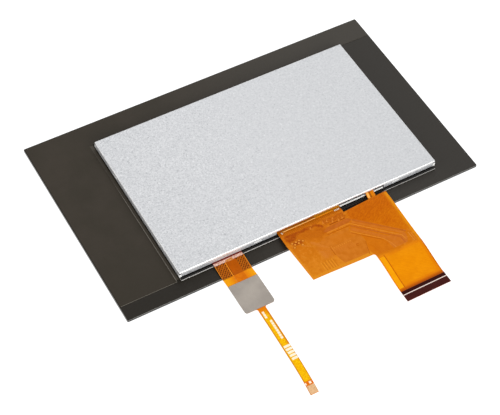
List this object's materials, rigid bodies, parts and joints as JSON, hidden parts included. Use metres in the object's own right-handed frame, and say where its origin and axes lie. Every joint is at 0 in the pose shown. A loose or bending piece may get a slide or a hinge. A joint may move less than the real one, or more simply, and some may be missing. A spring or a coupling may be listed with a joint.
{
  "type": "touchscreen lcd display module",
  "caption": "Flat colour display module behind a wider capacitive touch glass, lying face down, with a metal back and two flexible circuits leaving one long side.",
  "frame": {"origin": "centre of the cover lens's front face, which lies on the table", "axes": "+X along the long side, +Y away from the side where the flexible circuits leave, +Z out of the metal back"},
  "size_m": [0.164, 0.1583, 0.0053],
  "materials": {
    "cover_glass": "black-printed strengthened glass",
    "optical_adhesive": "clear film, seen edge-on as milky",
    "sensor_glass": "clear glass with a green edge",
    "mounting_tape": "matt dark film",
    "foam_tape": "matt black foam",
    "polarizer": "smoky grey film",
    "panel_glass": "clear glass",
    "black_film": "matt black tape",
    "clear_film": "clear ribbed film",
    "light_guide_acrylic": "clear acrylic",
    "white_film": "matt white film",
    "white_plastic": "moulded white",
    "zinc_steel": "galvanised sheet with a fine spangle",
    "orange_flex": "satin orange film over copper",
    "amber_flex": "satin amber film over copper",
    "maroon_stiffener": "satin maroon",
    "grey_stiffener": "satin warm grey",
    "amber_stiffener": "satin amber",
    "silicon": "polished dark grey",
    "chip_resin": "matt black resin",
    "ceramic_chip": "tan ceramic with tinned ends",
    "led_resin": "yellow phosphor resin in a white cup"
  },
  "bodies": {
    "root": {"cover_lens": "cover_glass", "mounting_tape": "mounting_tape", "mounting_tape_liner": "mounting_tape", "optical_adhesive": "optical_adhesive", "touch_sensor_glass": "sensor_glass", "module_tape": "foam_tape", "touch_flex": "amber_flex", "touch_flex_plate": "grey_stiffener", "touch_contact_stiffener": "amber_stiffener", "touch_controller": "chip_resin", "touch_capacitor_1": "ceramic_chip", "touch_capacitor_2": "ceramic_chip", "touch_capacitor_3": "ceramic_chip", "touch_capacitor_4": "ceramic_chip", "front_polarizer": "polarizer", "colour_filter_glass": "panel_glass", "array_glass": "panel_glass", "rear_polarizer": "polarizer", "rim_tape": "black_film", "driver_chip": "silicon", "upper_prism_film": "clear_film", "lower_prism_film": "clear_film", "diffuser_film": "white_film", "light_guide": "light_guide_acrylic", "reflector_film": "white_film", "backlight_led_01": "led_resin", "backlight_led_02": "led_resin", "backlight_led_03": "led_resin", "backlight_led_04": "led_resin", "backlight_led_05": "led_resin", "backlight_led_06": "led_resin", "backlight_led_07": "led_resin", "backlight_led_08": "led_resin", "backlight_led_09": "led_resin", "backlight_led_10": "led_resin", "backlight_led_11": "led_resin", "backlight_led_12": "led_resin", "backlight_flex": "amber_flex", "moulded_frame": "white_plastic", "metal_back_cover": "zinc_steel", "display_flex": "orange_flex", "display_flex_stiffener": "maroon_stiffener", "display_capacitor_1": "ceramic_chip", "display_capacitor_2": "ceramic_chip", "display_capacitor_3": "ceramic_chip", "display_capacitor_4": "ceramic_chip", "display_capacitor_5": "ceramic_chip", "display_capacitor_6": "ceramic_chip"}
  },
  "joints": []
}
